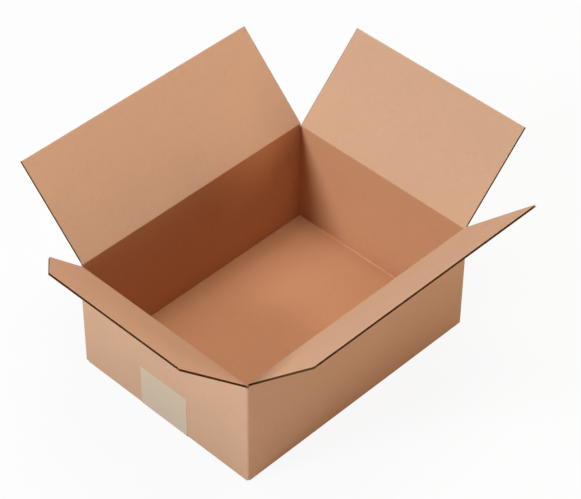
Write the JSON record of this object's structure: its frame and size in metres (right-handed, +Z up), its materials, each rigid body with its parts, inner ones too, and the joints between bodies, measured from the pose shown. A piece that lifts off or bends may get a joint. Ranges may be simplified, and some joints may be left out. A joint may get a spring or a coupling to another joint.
{
  "type": "open cardboard box",
  "caption": "Open slotted carton of corrugated board with hinged top flaps folded outward and a taped bottom.",
  "frame": {"origin": "on the surface that the carton stands on, under the middle of the carton", "axes": "+X along the side panels towards the right end, +Y towards the back side panel, +Z up"},
  "size_m": [0.3676, 0.3086, 0.1679],
  "materials": {
    "board": "matte brown kraft liner",
    "tape": "satin beige tape"
  },
  "bodies": {
    "carton": {"carton_body": "board", "sealing_tape": "tape"},
    "front_flap": {"front_side_flap": "board"},
    "back_flap": {"back_side_flap": "board"},
    "left_flap": {"left_end_flap": "board"},
    "right_flap": {"right_end_flap": "board"}
  },
  "joints": [
    {"name": "front_side_fold", "type": "hinge", "parent": "carton", "child": "front_flap", "pos_m": [0, -0.0905, 0.103], "axis": [1, 0, 0], "range_deg": [-135, 120]},
    {"name": "back_side_fold", "type": "hinge", "parent": "carton", "child": "back_flap", "pos_m": [0, 0.0905, 0.103], "axis": [-1, 0, 0], "range_deg": [-135, 120]},
    {"name": "left_end_fold", "type": "hinge", "parent": "carton", "child": "left_flap", "pos_m": [-0.12, 0, 0.1011], "axis": [0, -1, 0], "range_deg": [-135, 120]},
    {"name": "right_end_fold", "type": "hinge", "parent": "carton", "child": "right_flap", "pos_m": [0.12, 0, 0.1011], "axis": [0, 1, 0], "range_deg": [-135, 120]}
  ]
}
